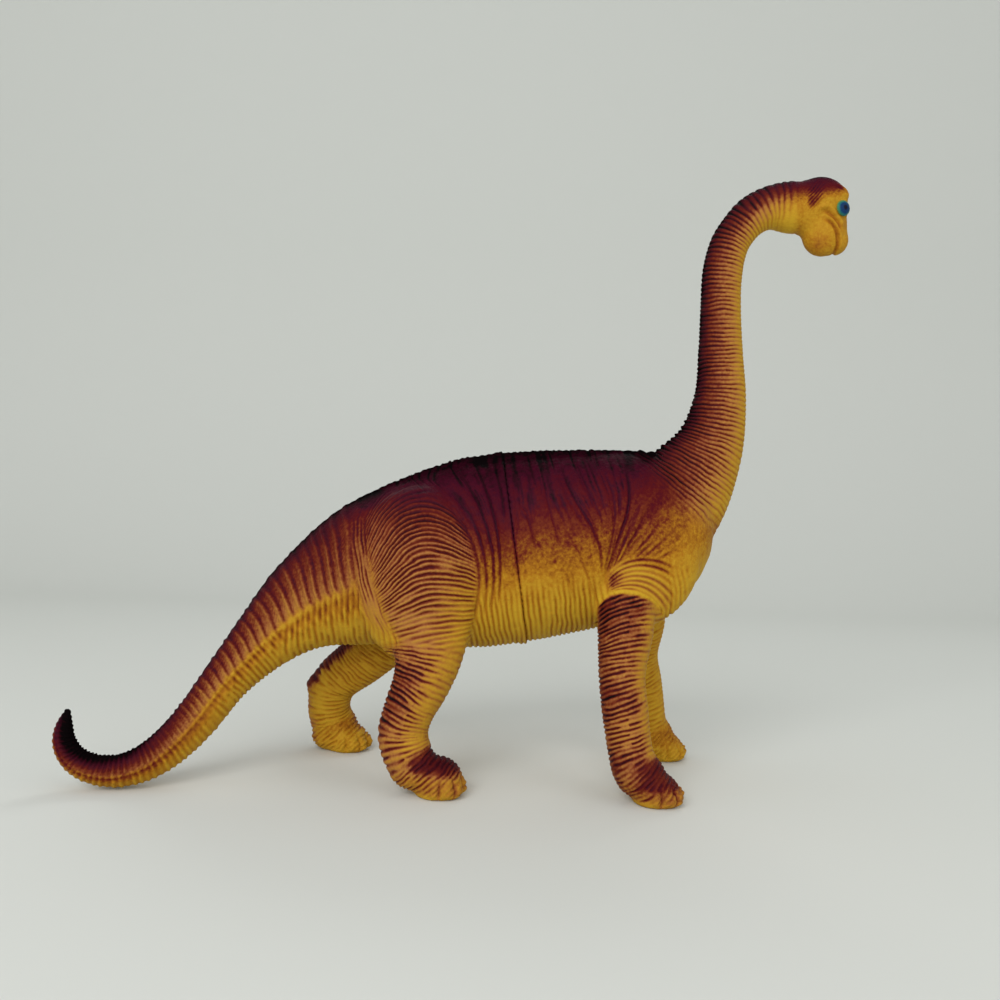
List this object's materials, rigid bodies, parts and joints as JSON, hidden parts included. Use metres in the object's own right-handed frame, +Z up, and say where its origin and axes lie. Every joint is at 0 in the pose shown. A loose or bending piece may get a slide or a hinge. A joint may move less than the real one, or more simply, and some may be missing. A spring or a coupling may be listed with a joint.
{
  "type": "toy dinosaur figure",
  "caption": "Hollow vinyl toy of a long-necked sauropod that stands on its own feet, with a raised S-shaped neck, a curled tail and a plugged waist joint.",
  "frame": {"origin": "on the ground under the middle of the figure's box", "axes": "+X towards the head, +Y towards the animal's left side, +Z up"},
  "size_m": [0.2424, 0.0714, 0.199],
  "materials": {
    "front_vinyl": "painted soft vinyl, golden yellow sprayed over with orange and maroon",
    "rear_vinyl": "painted soft vinyl, golden yellow sprayed over with maroon and dark purple"
  },
  "bodies": {
    "root": {"front_shell": "front_vinyl", "rear_shell": "rear_vinyl"}
  },
  "joints": []
}
